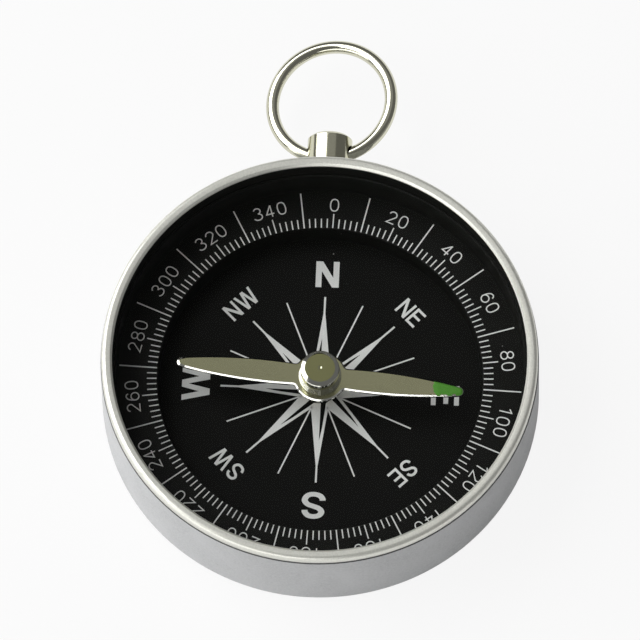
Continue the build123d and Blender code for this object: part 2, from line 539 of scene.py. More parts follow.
@dataclass(frozen=True)
class MatteFinish(Finish):
    """Moulded, painted, printed or glued surface with grain and dust."""

    name: str
    light: Triple
    dark: Triple
    smooth: float
    rough: float
    gloss: float
    dust: Triple = (0.30, 0.30, 0.29)
    dust_share: float = 0.0
    grains_per_mm: float = 7.0
    grain_height: float = 4 * MICRON
    grain_tone: float = 0.6
    smudges_per_mm: float = 0.15
    smudge_tone: float = 0.4

    def surface(self, graph: Graph) -> Socket:
        """Builds a matte shader from the shared effects.

        Args:
            graph: graph of the material.

        Returns:
            The socket with the shader.
        """
        place = graph.place()
        grain = graph.effect(
            Effect.FINE_GRAIN, Place=place, Grains_per_mm=self.grains_per_mm
        ).outputs["Grain"]
        smudge = graph.effect(
            Effect.HANDLING_MARKS, Place=place, Smudges_per_mm=self.smudges_per_mm
        ).outputs["Smudge"]
        tone = graph.weigh(grain, self.grain_tone, smudge, self.smudge_tone)
        color = graph.tint(tone, self.dark, self.light)
        if self.dust_share:
            specks = graph.effect(Effect.DUST_SPECKS, Place=place, Share=self.dust_share)
            color = graph.tint(specks.outputs["Dust"], color, self.dust)
        shader = graph.node(
            "ShaderNodeBsdfPrincipled",
            {
                "Base Color": color,
                "Roughness": graph.spread(smudge, RISING, (self.smooth, self.rough)),
                "Specular IOR Level": self.gloss,
                "Normal": graph.bump(grain, self.grain_height),
            },
        )
        return shader.outputs[0]


@dataclass(frozen=True)
class CrystalFinish(Finish):
    """Thin clear disc that hardly bends light, with faint wipe marks on its gloss."""

    name: str
    clear: Triple
    hazy: Triple
    bend: float
    smooth: float
    rough: float
    smudges_per_mm: float = 0.12

    def surface(self, graph: Graph) -> Socket:
        """Builds a clear shader whose gloss is on the outer face only.

        Args:
            graph: graph of the material.

        Returns:
            The socket with the shader.
        """
        smudge = graph.effect(
            Effect.HANDLING_MARKS, Place=graph.place(), Smudges_per_mm=self.smudges_per_mm
        ).outputs["Smudge"]
        color = graph.tint(smudge, self.clear, self.hazy)
        through = graph.node("ShaderNodeBsdfTransparent", {"Color": color})
        roughness = graph.spread(smudge, RISING, (self.smooth, self.rough))
        gloss = graph.node("ShaderNodeBsdfGlossy", {"Roughness": roughness})
        mirror = graph.node("ShaderNodeFresnel", {"IOR": self.bend})
        inside = graph.node("ShaderNodeNewGeometry").outputs["Backfacing"]
        outside = graph.calc("SUBTRACT", 1.0, inside)
        share = graph.calc("MULTIPLY", mirror.outputs[0], outside)
        shader = graph.node(
            "ShaderNodeMixShader", {0: share, 1: through.outputs[0], 2: gloss.outputs[0]}
        )
        return shader.outputs[0]


@dataclass(frozen=True)
class FloorFinish(Finish):
    """Pale studio floor that stays near white in the picture and keeps a soft shadow."""

    name: str
    pale: Triple
    paler: Triple
    glow: float
    grains_per_mm: float = 0.05

    def surface(self, graph: Graph) -> Socket:
        """Builds a lit floor with a share of even white.

        Args:
            graph: graph of the material.

        Returns:
            The socket with the shader.
        """
        grain = graph.effect(
            Effect.FINE_GRAIN, Place=graph.place(), Grains_per_mm=self.grains_per_mm
        )
        color = graph.tint(grain.outputs["Grain"], self.pale, self.paler)
        lit = graph.node("ShaderNodeBsdfDiffuse", {"Color": color})
        white = graph.node("ShaderNodeEmission", {"Strength": 1.0})
        path = graph.node("ShaderNodeLightPath")
        seen = graph.calc(
            "MAXIMUM", path.outputs["Is Camera Ray"], path.outputs["Is Glossy Ray"]
        )
        seen = graph.calc("MAXIMUM", seen, path.outputs["Is Transmission Ray"])
        share = graph.calc("MULTIPLY", seen, self.glow)
        shader = graph.node(
            "ShaderNodeMixShader", {0: share, 1: lit.outputs[0], 2: white.outputs[0]}
        )
        return shader.outputs[0]


SATIN_CASE = MetalFinish(
    "satin_case_metal", light=(0.585, 0.59, 0.595), dark=(0.465, 0.47, 0.475),
    smooth=0.48, rough=0.62, grains_per_mm=4.0, grain_height=10 * MICRON,
    metal_share=0.06, gloss=0.12, even_grain=0.4,
)
SATIN_BEZEL = MetalFinish(
    "satin_bezel_metal", light=(0.82, 0.82, 0.75), dark=(0.67, 0.67, 0.61),
    smooth=0.29, rough=0.39, grains_per_mm=5.0, grain_height=3 * MICRON,
    scratch_share=0.08, metal_share=0.6, even_grain=0.7,
)
# Dark colour of the line of painted shade laid under the bezel.
SEAM_PAINTED_SHADE = MetalFinish(
    "painted_seam_shade", light=(0.10, 0.10, 0.098), dark=(0.05, 0.05, 0.05),
    smooth=0.40, rough=0.60, metal_share=0.5,
)
# The blade's bevels and cut edges get a painted near-white highlight colour.
NEEDLE_NICKEL = MetalFinish(
    "needle_nickel_plate", light=(0.60, 0.59, 0.365), dark=(0.48, 0.47, 0.29),
    smooth=0.09, rough=0.20, grains_per_mm=7.0, grain_height=1.6 * MICRON,
    edge_light=(0.88, 0.875, 0.82),
)
# The cap's sides, bevel and steps get a painted highlight colour, paler and less yellow than
# its top.
CAP_NICKEL = MetalFinish(
    "turned_cap_nickel", light=(0.465, 0.465, 0.225), dark=(0.385, 0.385, 0.185),
    smooth=0.07, rough=0.15, grain_height=0.5 * MICRON, lines_per_mm=14.0,
    line_height=1.2 * MICRON, edge_light=(0.70, 0.70, 0.63),
)
STEM_NICKEL = MetalFinish(
    "turned_stem_nickel", light=(0.68, 0.67, 0.52), dark=(0.55, 0.54, 0.41),
    smooth=0.07, rough=0.16, lines_per_mm=9.0, line_height=1.2 * MICRON,
    turning=Turning.STEM_AXIS,
)
WIRE_NICKEL = MetalFinish(
    "wire_nickel_plate", light=(0.68, 0.67, 0.54), dark=(0.55, 0.54, 0.43),
    smooth=0.06, rough=0.15, grain_height=1 * MICRON,
)
PIVOT_BRASS = MetalFinish(
    "turned_pivot_brass", light=(0.72, 0.53, 0.22), dark=(0.56, 0.39, 0.15),
    smooth=0.18, rough=0.34, lines_per_mm=10.0, line_height=2 * MICRON,
)
PIN_STEEL = MetalFinish(
    "hardened_pin_steel", light=(0.52, 0.52, 0.53), dark=(0.42, 0.42, 0.43),
    smooth=0.10, rough=0.22,
)
BLACK_PLASTIC = MatteFinish(
    "moulded_black_plastic", light=(0.0056, 0.0060, 0.0046), dark=(0.0032, 0.0035, 0.0027),
    smooth=0.42, rough=0.58, gloss=0.11, dust_share=0.02, grain_height=0.8 * MICRON,
)
DIAL_BLACK = MatteFinish(
    "painted_dial_black", light=(0.0040, 0.0043, 0.0034), dark=(0.0022, 0.0025, 0.0019),
    smooth=0.46, rough=0.62, gloss=0.08, dust_share=0.012, grain_height=0.8 * MICRON,
)
DIAL_INK = MatteFinish(
    "printed_dial_ink", light=(0.82, 0.83, 0.81), dark=(0.66, 0.67, 0.65),
    smooth=0.50, rough=0.66, gloss=0.25, grains_per_mm=9.0, grain_height=3 * MICRON,
)
LUME_PAINT = MatteFinish(
    "luminous_green_paint", light=(0.085, 0.30, 0.030), dark=(0.055, 0.215, 0.018),
    smooth=0.42, rough=0.62, gloss=0.30, grains_per_mm=6.0, grain_height=12 * MICRON,
)
JEWEL = MatteFinish(
    "ruby_bearing_jewel", light=(0.34, 0.02, 0.05), dark=(0.20, 0.01, 0.03),
    smooth=0.06, rough=0.12, gloss=0.6, grain_height=0.5 * MICRON,
)
ADHESIVE = MatteFinish(
    "clear_adhesive_film", light=(0.50, 0.46, 0.34), dark=(0.38, 0.34, 0.24),
    smooth=0.35, rough=0.55, gloss=0.4,
)
CRYSTAL = CrystalFinish(
    "clear_crystal", clear=(1.0, 1.0, 1.0), hazy=(0.985, 0.987, 0.985), bend=1.15,
    smooth=0.0, rough=0.02,
)
FLOOR = FloorFinish(
    "pale_floor", pale=(0.74, 0.74, 0.74), paler=(0.72, 0.72, 0.72), glow=0.89
)


class MeshWriter:
    """Collects corners and faces and makes one mesh piece of them."""

    longest_miter: ClassVar[float] = 2.0
    sharpest_bend: ClassVar[float] = 0.2

    def __init__(self) -> None:
        """Starts with nothing collected."""
        self.corners: List[Triple] = []
        self.faces: List[Tuple[int, ...]] = []

    def add(
        self, corners: Sequence[Sequence[float]], faces: Sequence[Sequence[int]]
    ) -> None:
        """Adds a patch of corners and faces.

        Args:
            corners: places of the corners.
            faces: runs of corner numbers within the patch.
        """
        first = len(self.corners)
        self.corners.extend(tuple(corner) for corner in corners)
        self.faces.extend(tuple(first + index for index in face) for face in faces)

    def prism(self, outline: Sequence[Point], bottom: float, top: float) -> None:
        """Adds a flat shape raised between two levels.

        Args:
            outline: closed run of points, in either direction.
            bottom: lower level.
            top: upper level.
        """
        points = list(outline)
        count = len(points)
        turn = sum(
            points[i - 1][0] * points[i][1] - points[i][0] * points[i - 1][1]
            for i in range(count)
        )
        if turn < 0:
            points.reverse()
        corners = [(x, y, bottom) for x, y in points] + [(x, y, top) for x, y in points]
        faces: List[Sequence[int]] = [
            list(range(count, 2 * count)),
            list(range(count - 1, -1, -1)),
        ]
        for i in range(count):
            after = (i + 1) % count
            faces.append((i, after, count + after, count + i))
        self.add(corners, faces)

    def stroke(
        self, line: Sequence[Point], width: float, closed: bool, bottom: float, top: float
    ) -> None:
        """Adds a line of even width raised between two levels.

        Args:
            line: points along the middle of the stroke.
            width: width of the stroke.
            closed: whether the last point joins the first.
            bottom: lower level.
            top: upper level.
        """
        count = len(line)
        corners: List[Triple] = []
        for i in range(count):
            here = Vector(line[i])
            before = Vector(line[i - 1]) if closed or i > 0 else None
            after = Vector(line[(i + 1) % count]) if closed or i < count - 1 else None
            come = (here - before).normalized() if before else (after - here).normalized()
            leave = (after - here).normalized() if after else come
            along = (come + leave).normalized()
            bend = max(self.sharpest_bend, along.dot(come))
            reach = width / 2 * min(self.longest_miter, 1.0 / bend)
            side = Vector((-along.y, along.x)) * reach
            for spot in (here + side, here - side):
                corners.append((spot.x, spot.y, bottom))
                corners.append((spot.x, spot.y, top))
        faces: List[Sequence[int]] = []
        for i in range(count if closed else count - 1):
            a = 4 * i
            b = 4 * ((i + 1) % count)
            faces.append((a + 3, b + 3, b + 1, a + 1))
            faces.append((a + 2, a, b, b + 2))
            faces.append((a + 2, b + 2, b + 3, a + 3))
            faces.append((b, a, a + 1, b + 1))
        if not closed:
            end = 4 * (count - 1)
            faces.append((0, 2, 3, 1))
            faces.append((end + 2, end, end + 1, end + 3))
        self.add(corners, faces)

    def skin(self, rings: Sequence[Sequence[Sequence[float]]]) -> None:
        """Adds closed rings of corners, each joined to the next and the last to the first.

        Args:
            rings: runs of corners, all of one length, or of one corner for a point.
        """
        count = max(len(ring) for ring in rings)
        corners: List[Sequence[float]] = []
        numbers: List[List[int]] = []
        for ring in rings:
            numbers.append([len(corners) + i % len(ring) for i in range(count)])
            corners.extend(ring)
        faces: List[Sequence[int]] = []
        for i, ring in enumerate(numbers):
            upper = numbers[(i + 1) % len(numbers)]
            for step in range(count):
                after = (step + 1) % count
                face = (ring[step], ring[after], upper[after], upper[step])
                face = tuple(dict.fromkeys(face))
                if len(face) > 2:
                    faces.append(face)
        self.add(corners, faces)

    def lathe(self, profile: Sequence[Point], segments: int) -> None:
        """Adds a closed profile turned about the Z axis.

        Args:
            profile: closed run of radius and height, up the outside and down the bore.
            segments: number of flats round the piece.
        """
        angles = [2 * math.pi * step / segments for step in range(segments)]
        rings: List[List[Triple]] = []
        for radius, height in profile:
            ring = [(radius * math.cos(a), radius * math.sin(a), height) for a in angles]
            rings.append(ring if radius else ring[:1])
        self.skin(rings)

    def piece(
        self, name: str, body: str, slot: str, finish: Finish, crease: Optional[float] = None
    ) -> bpy.types.Object:
        """Makes the piece, dresses it and sets it on its body.

        Args:
            name: name of the piece.
            body: body that it moves with.
            slot: material slot of the record, which is not used.
            finish: surface of the piece.
            crease: angle in degrees above which an edge stays sharp, or None for flats.

        Returns:
            The new piece.
        """
        mesh = bpy.data.meshes.new(name)
        mesh.from_pydata(self.corners, [], self.faces)
        mesh.validate()
        if crease is not None:
            mesh.shade_smooth()
            mesh.set_sharp_from_angle(angle=math.radians(crease))
        mesh.materials.append(finish.material())
        made = bpy.data.objects.new(name, mesh)
        bpy.context.scene.collection.objects.link(made)
        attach(made, body)
        return made


def dress(node: str, finish: Finish) -> bpy.types.Object:
    """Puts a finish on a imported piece.

    Args:
        node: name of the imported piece.
        finish: surface to put on it.

    Returns:
        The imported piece.
    """
    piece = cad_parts[node]
    piece.material_slots[0].material = finish.material()
    return piece


def bar(width: float, start: float, end: float) -> List[Point]:
    """Gives the corners of a straight mark that runs outward."""
    half = width / 2
    return [(-half, start), (half, start), (half, end), (-half, end)]


def sweep(middle: Point, radius: float, start: float, end: float, count: int) -> List[Point]:
    """Gives points along an arc, from one angle to another in even steps."""
    turns = [start + (end - start) * i / count for i in range(count + 1)]
    return [
        (middle[0] + radius * math.cos(a), middle[1] + radius * math.sin(a)) for a in turns
    ]


def arc(
    centre: Point, reach: Point, start: float, end: float, square: float = 2.0
) -> List[Point]:
    """Gives points along part of an oval.

    Args:
        centre: middle of the oval.
        reach: half its width and half its height.
        start: first angle in degrees, counter-clockwise from the right.
        end: last angle in degrees.
        square: 2 for an ellipse, more for fuller corners.

    Returns:
        The points.
    """
    fewest, degrees_each = 6, 9
    count = max(fewest, int(abs(end - start) / degrees_each))
    points = []
    for step in range(count + 1):
        angle = math.radians(start + (end - start) * step / count)
        across, up = math.cos(angle), math.sin(angle)
        points.append((
            centre[0] + reach[0] * math.copysign(abs(across) ** (2 / square), across),
            centre[1] + reach[1] * math.copysign(abs(up) ** (2 / square), up),
        ))
    return points


def flowing(knots: Sequence[Point], steps: int = 6) -> List[Point]:
    """Gives points along a smooth line through some knots.

    Args:
        knots: points that the line passes through.
        steps: points from one knot to the next.

    Returns:
        The points.
    """
    line = [Vector(knot) for knot in knots]
    line = [2 * line[0] - line[1]] + line + [2 * line[-1] - line[-2]]
    points = []
    for i in range(1, len(line) - 2):
        a, b, c, d = line[i - 1], line[i], line[i + 1], line[i + 2]
        for step in range(steps):
            t = step / steps
            spot = 0.5 * (
                2 * b + (c - a) * t + (2 * a - 5 * b + 4 * c - d) * t**2
                + (3 * b - a - 3 * c + d) * t**3
            )
            points.append((spot.x, spot.y))
    points.append((line[-2].x, line[-2].y))
    return points


@dataclass(frozen=True)
class Spot:
    """A place on the dial, with print standing upright away from the centre."""

    bearing: float
    radius: float

    def put(self, point: Point) -> Point:
        """Gives the place of a point of the print.

        Args:
            point: distance to the right and distance outward.

        Returns:
            The place in the frame.
        """
        angle = math.radians(self.bearing)
        out = self.radius + point[1]
        return (
            math.sin(angle) * out + math.cos(angle) * point[0],
            math.cos(angle) * out - math.sin(angle) * point[0],
        )

    def trace(self, points: Sequence[Point]) -> List[Point]:
        """Gives the places of a run of points of the print."""
        return [self.put(point) for point in points]


@dataclass
class PrintedLayer:
    """Ink that stands a little above the face it is printed on."""

    plate: ClassVar[str]
    ink_height: float = 0.02 * MM
    ink_sink: float = 0.01 * MM
    lap: float = 0.001 * MM

    def __post_init__(self) -> None:
        """Keeps the level of the face under the ink."""
        self.face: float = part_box(self.plate)[1][2]

    def levels(self, layer: int = 0) -> Tuple[float, float]:
        """Gives the lower and upper level of a mark that lies over a number of others."""
        return self.face - self.ink_sink, self.face + self.ink_height + layer * self.lap

    def printed(self, ink: MeshWriter, name: str) -> bpy.types.Object:
        """Makes one piece of the collected print."""
        return ink.piece(name, "case", "dial_print", DIAL_INK)


@dataclass
class DegreeScale(PrintedLayer):
    """Raised scale ring with its ticks and numerals."""

    plate: ClassVar[str] = "scale_ring"
    turn: float = 2.14
    tick_step: int = 2
    tick_start: float = 18.85 * MM
    short_end: float = 19.97 * MM
    middle_end: float = 20.60 * MM
    long_end: float = 23.22 * MM
    tick_width: float = 0.135 * MM
    long_tick_width: float = 0.15 * MM
    numeral_step: int = 20
    numeral_radius: float = 21.71 * MM
    numeral_height: float = 1.46 * MM
    numeral_width: float = 0.92 * MM
    numeral_stroke: float = 0.14 * MM
    numeral_advance: float = 1.41 * MM
    one_width: float = 0.46 * MM
    zero_square: float = 2.4
    full_round: float = 351.0

    def build(self) -> List[bpy.types.Object]:
        """Dresses the ring and prints its ticks and numerals."""
        return [dress(self.plate, BLACK_PLASTIC), self.ticks(), self.numerals()]

    def kind(self, degrees: int) -> TickKind:
        """Gives the length of mark at a bearing.

        Args:
            degrees: bearing on the scale.

        Returns:
            The kind of mark.
        """
        if degrees % self.numeral_step == 0:
            return TickKind.MIDDLE
        if degrees % (self.numeral_step // 2) == 0:
            return TickKind.LONG
        return TickKind.SHORT

    def ticks(self) -> bpy.types.Object:
        """Prints the degree marks.

        Returns:
            The piece with the marks.
        """
        levels = self.levels()
        ends = {
            TickKind.SHORT: self.short_end,
            TickKind.MIDDLE: self.middle_end,
            TickKind.LONG: self.long_end,
        }
        ink = MeshWriter()
        for degrees in range(0, 360, self.tick_step):
            kind = self.kind(degrees)
            width = self.long_tick_width if kind is TickKind.LONG else self.tick_width
            spot = Spot(degrees + self.turn, self.tick_start)
            mark = bar(width, 0.0, ends[kind] - self.tick_start)
            ink.prism(spot.trace(mark), *levels)
        return self.printed(ink, "scale_ticks")

    def digit(self, figure: str) -> List[Tuple[List[Point], bool]]:
        """Gives the strokes of a figure in a box one wide and one high.

        Args:
            figure: figure to draw.

        Returns:
            Lines along the strokes, each with whether it is closed.
        """
        full = self.full_round
        strokes = {
            "0": [(arc((0.5, 0.5), (0.5, 0.5), 0.0, full, self.zero_square), True)],
            "1": [([(0.0, 0.79), (0.95, 1.0), (0.95, 0.0)], False)],
            "2": [(arc((0.5, 0.71), (0.47, 0.29), 168.0, -20.0) + [(0.0, 0.0), (1.0, 0.0)],
                   False)],
            "3": [(arc((0.46, 0.765), (0.42, 0.235), 160.0, -75.0)
                   + arc((0.44, 0.265), (0.53, 0.265), 75.0, -158.0), False)],
            "4": [([(0.70, 0.0), (0.70, 1.0)], False),
                  ([(0.66, 0.96), (0.0, 0.26), (1.0, 0.26)], False)],
            "6": [(arc((0.5, 0.31), (0.5, 0.31), 0.0, full), True),
                  (flowing([(0.90, 0.83), (0.75, 0.97), (0.5, 1.0), (0.2, 0.88),
                            (0.04, 0.62), (0.0, 0.34)]), False)],
            "8": [(arc((0.5, 0.765), (0.43, 0.235), 0.0, full), True),
                  (arc((0.5, 0.265), (0.5, 0.265), 0.0, full), True)],
        }
        return strokes[figure]

    def numerals(self) -> bpy.types.Object:
        """Prints the numerals, tops outward.

        Returns:
            The piece with the numerals.
        """
        ink = MeshWriter()
        for degrees in range(0, 360, self.numeral_step):
            spot = Spot(degrees + self.turn, self.numeral_radius)
            figures = str(degrees)
            left = -self.numeral_advance * len(figures) / 2
            for place, figure in enumerate(figures):
                middle = left + self.numeral_advance * (place + 0.5)
                width = self.one_width if figure == "1" else self.numeral_width
                for layer, (line, closed) in enumerate(self.digit(figure)):
                    points = spot.trace([
                        (middle + (x - 0.5) * width, (y - 0.5) * self.numeral_height)
                        for x, y in line
                    ])
                    ink.stroke(points, self.numeral_stroke, closed, *self.levels(layer))
        return self.printed(ink, "scale_numerals")


@dataclass
class CompassRose(PrintedLayer):
    """Sunken dial plate with the printed rose and letters."""

    plate: ClassVar[str] = "dial_plate"
    half_widths: ClassVar[Dict[str, float]] = {"N": 1.35, "E": 1.2, "S": 1.4, "W": 2.1}
    turn: float = 0.47
    points: int = 8
    dart_start: float = 1.70 * MM
    dart_waist: float = 2.39 * MM
    dart_waist_half: float = 0.99 * MM
    dart_neck: float = 9.5 * MM
    dart_tip: float = 11.56 * MM
    dart_line_half: float = 0.11 * MM
    slit_end: float = 6.40 * MM
    slit_knee: float = 4.90 * MM
    slit_offset: float = 0.11 * MM
    slit_width: float = 0.54 * MM
    slit_knee_width: float = 0.27 * MM
    ray_start: float = 2.30 * MM
    ray_end: float = 11.5 * MM
    ray_width: float = 0.168 * MM
    letter_half_height: float = 1.61 * MM
    letter_radius: float = 14.39 * MM
    letter_shift: float = 0.25 * MM
    small_height_share: float = 0.68
    small_width_share: float = 0.556
    pair_radius: float = 14.1 * MM
    pair_gap: float = 0.28 * MM
    bend_stroke: float = 0.56 * MM
    thin_bend_stroke: float = 0.46 * MM
    bend_stretch: float = 1.21

    def build(self) -> List[bpy.types.Object]:
        """Dresses the plate and prints the rose and the letters."""
        rose = [dress(self.plate, DIAL_BLACK), self.darts(), self.rays()]
        return rose + [self.cardinal_letters(), self.paired_letters()]

    def darts(self) -> bpy.types.Object:
        """Prints the eight split darts.

        Returns:
            The piece with the darts.
        """
        start, waist, line = self.dart_start, self.dart_waist, self.dart_line_half
        half = self.dart_waist_half
        foot = half * start / waist
        outline = [
            (foot, start),
            (half, waist),
            (line, self.dart_neck),
            (line, self.dart_tip),
            (-line, self.dart_tip),
            (-line, self.dart_neck),
            (-half, waist),
            (-foot, start),
            (-self.slit_offset - self.slit_width, waist),
            (-self.slit_offset - self.slit_knee_width, self.slit_knee),
            (-self.slit_offset, self.slit_end),
            (-self.slit_offset, start),
        ]
        return self.round_the_rose("rose_darts", outline, 0.0)

    def rays(self) -> bpy.types.Object:
        """Prints the thin rays halfway between the darts."""
        outline = bar(self.ray_width, self.ray_start, self.ray_end)
        return self.round_the_rose("rose_rays", outline, 0.5)

    def round_the_rose(
        self, name: str, outline: Sequence[Point], between: float
    ) -> bpy.types.Object:
        """Prints one mark at each point of the rose.

        Args:
            name: name of the piece.
            outline: corners of the mark, to the right of and outward from the centre.
            between: share of the way to the next point.

        Returns:
            The piece with the marks.
        """
        levels = self.levels()
        ink = MeshWriter()
        for point in range(self.points):
            spot = Spot(self.turn + 360.0 / self.points * (point + between), 0.0)
            ink.prism(spot.trace(outline), *levels)
        return self.printed(ink, name)

    def outline(self, letter: str, thin: bool) -> List[Point]:
        """Gives the outline of a straight sided letter, full size, about its middle.

        Args:
            letter: letter to draw.
            thin: whether its strokes are thin.

        Returns:
            The corners, in millimetres.
        """
        tall = self.letter_half_height / MM
        wide = self.half_widths[letter]
        if letter == "N":
            stem, corner, notch = (0.52, 0.60, 0.865) if thin else (0.68, 0.78, 1.21)
            half = [(-wide, -tall), (stem - wide, -tall), (stem - wide, tall - notch),
                    (wide - corner, -tall), (wide, -tall)]
            return half + [(-x, -y) for x, y in half]
        if letter == "E":
            foot, shelf, level = 1.23, 1.02, 0.1
            stem, arm, half = (-0.66, 0.44, 0.22) if thin else (-0.5, 0.55, 0.275)
            return [(-wide, -tall), (foot, -tall), (foot, arm - tall), (stem, arm - tall),
                    (stem, level - half), (shelf, level - half), (shelf, level + half),
                    (stem, level + half), (stem, tall - arm), (wide, tall - arm),
                    (wide, tall), (-wide, tall)]
        arms = (1.56, 0.976, -0.834, 0.34) if thin else (1.42, 0.94, -0.38, 0.42)
        outer, notch, depth, middle = arms
        foot, peak = (0.64, 0.84) if thin else (0.58, 0.88)
        heel = 1.33
        right = [(foot, -tall), (heel, -tall), (wide, tall), (outer, tall), (notch, depth),
                 (middle, tall)]
        return [(0.0, peak)] + right + [(-x, y) for x, y in reversed(right)]

    def letter(
        self, ink: MeshWriter, letter: str, spot: Spot, shift: float, size: Point, thin: bool
    ) -> None:
        """Prints one letter.

        Args:
            ink: mesh that the letter goes into.
            letter: letter to print.
            spot: place on the dial.
            shift: distance of the letter's middle to the right of the place.
            size: share of the full width and of the full height.
            thin: whether its strokes are thin.
        """
        levels = self.levels()
        if letter != "S":
            corners = [
                (shift + x * MM * size[0], y * MM * size[1])
                for x, y in self.outline(letter, thin)
            ]
            ink.prism(spot.trace(corners), *levels)
            return
        bend = MeshWriter()
        knots = [
            (0.82, 0.60), (0.79, 0.86), (0.50, 1.25), (0.0, 1.38), (-0.53, 1.24),
            (-0.78, 0.80), (-0.53, 0.37), (0.0, 0.12), (0.55, -0.13), (0.85, -0.62),
            (0.57, -1.21), (0.0, -1.38), (-0.57, -1.22), (-0.83, -0.86), (-0.86, -0.62),
        ]
        stroke = self.thin_bend_stroke if thin else self.bend_stroke
        bend.stroke(flowing(knots), stroke / MM, False, *levels)
        corners = []
        for x, y, z in bend.corners:
            across = shift + x * MM * self.bend_stretch * size[0]
            corners.append((*spot.put((across, y * MM * size[1])), z))
        ink.add(corners, bend.faces)

    def cardinal_letters(self) -> bpy.types.Object:
        """Prints the four large letters.

        Returns:
            The piece with the letters.
        """
        ink = MeshWriter()
        for quarter, letter in enumerate("NESW"):
            spot = Spot(90.0 * quarter, self.letter_radius)
            self.letter(ink, letter, spot, self.letter_shift, (1.0, 1.0), False)
        return self.printed(ink, "cardinal_letters")

    def paired_letters(self) -> bpy.types.Object:
        """Prints the four pairs of small letters.

        Returns:
            The piece with the letters.
        """
        size = (self.small_width_share, self.small_height_share)
        ink = MeshWriter()
        for quarter, (first, second) in enumerate(("NE", "SE", "SW", "NW")):
            spot = Spot(45.0 + 90.0 * quarter, self.pair_radius)
            back = -self.half_widths[first] * MM * size[0]
            ahead = self.pair_gap + self.half_widths[second] * MM * size[0]
            self.letter(ink, first, spot, back, size, True)
            self.letter(ink, second, spot, ahead, size, True)
        return self.printed(ink, "paired_letters")


@dataclass
class Case:
    """Metal cup with its bezel, crystal, spacer and the pivot inside."""

    edge_inset: float = 0.16 * MM
    edge_coat: float = 0.04 * MM
    edge_end: float = 0.02 * MM
    seam_sink: float = 0.03 * MM
    seam_rise: float = 0.16 * MM
    seam_narrow: float = 0.02 * MM
    seam_wide: float = 0.10 * MM
    seam_slope: float = 0.1
    seam_bearing: float = 165.0
    ledge_share: float = 0.95
    segments: int = 360
    crease: float = 30.0

    def build(self) -> List[bpy.types.Object]:
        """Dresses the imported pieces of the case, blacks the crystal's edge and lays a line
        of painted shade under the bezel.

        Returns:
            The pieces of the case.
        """
        finishes = {
            "case_shell": SATIN_CASE,
            "bezel_ring": SATIN_BEZEL,
            "crystal": CRYSTAL,
            "spacer_ring": BLACK_PLASTIC,
            "dial_adhesive": ADHESIVE,
            "pivot_base": PIVOT_BRASS,
            "pivot_pin": PIN_STEEL,
        }
        dressed = [dress(node, finish) for node, finish in finishes.items()]
        return dressed + [self.crystal_edge(), self.seam()]

    def crystal_edge(self) -> bpy.types.Object:
        """Blacks the crystal's edge, which hides the seat behind it.

        Returns:
            The coat of black.
        """
        low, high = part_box("crystal")
        outer = high[0] - self.edge_inset
        inner = outer - self.edge_coat
        bottom, top = low[2] + self.edge_end, high[2] - self.edge_end
        coat = MeshWriter()
        coat.lathe(
            [(outer, bottom), (outer, top), (inner, top), (inner, bottom)], self.segments
        )
        return coat.piece(
            "blacked_crystal_edge", "case", "black_plastic", BLACK_PLASTIC, self.crease
        )

    def seam(self) -> bpy.types.Object:
        """Lays a line of painted shade on the ledge under the bezel, widest on the near side.

        Returns:
            The line of painted shade.
        """
        low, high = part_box("bezel_ring")
        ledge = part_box("case_shell")[1][0] - high[0]
        level = low[2]
        foot = level - self.seam_sink
        inner = high[0] - self.seam_sink
        rings: List[List[Triple]] = []
        for step in range(self.segments):
            angle = 2 * math.pi * step / self.segments
            # The painted shade grows wider and taller towards the near side.
            swing = angle - math.radians(self.seam_bearing)
            width = self.seam_narrow + (self.seam_wide - self.seam_narrow) * (
                0.5 + 0.5 * math.cos(swing)
            )
            rise = self.seam_rise * width / self.seam_wide
            outer = high[0] + min(width, self.ledge_share * ledge)
            section = [
                (inner, foot),
                (outer, foot),
                (outer, level + self.seam_slope * rise),
                (high[0] + self.seam_slope * width, level + rise),
                (inner, level + rise),
            ]
            rings.append([
                (radius * math.sin(angle), radius * math.cos(angle), height)
                for radius, height in section
            ])
        line = MeshWriter()
        line.skin(rings)
        return line.piece("bezel_shade_line", "case", "case_metal", SEAM_PAINTED_SHADE, self.crease)


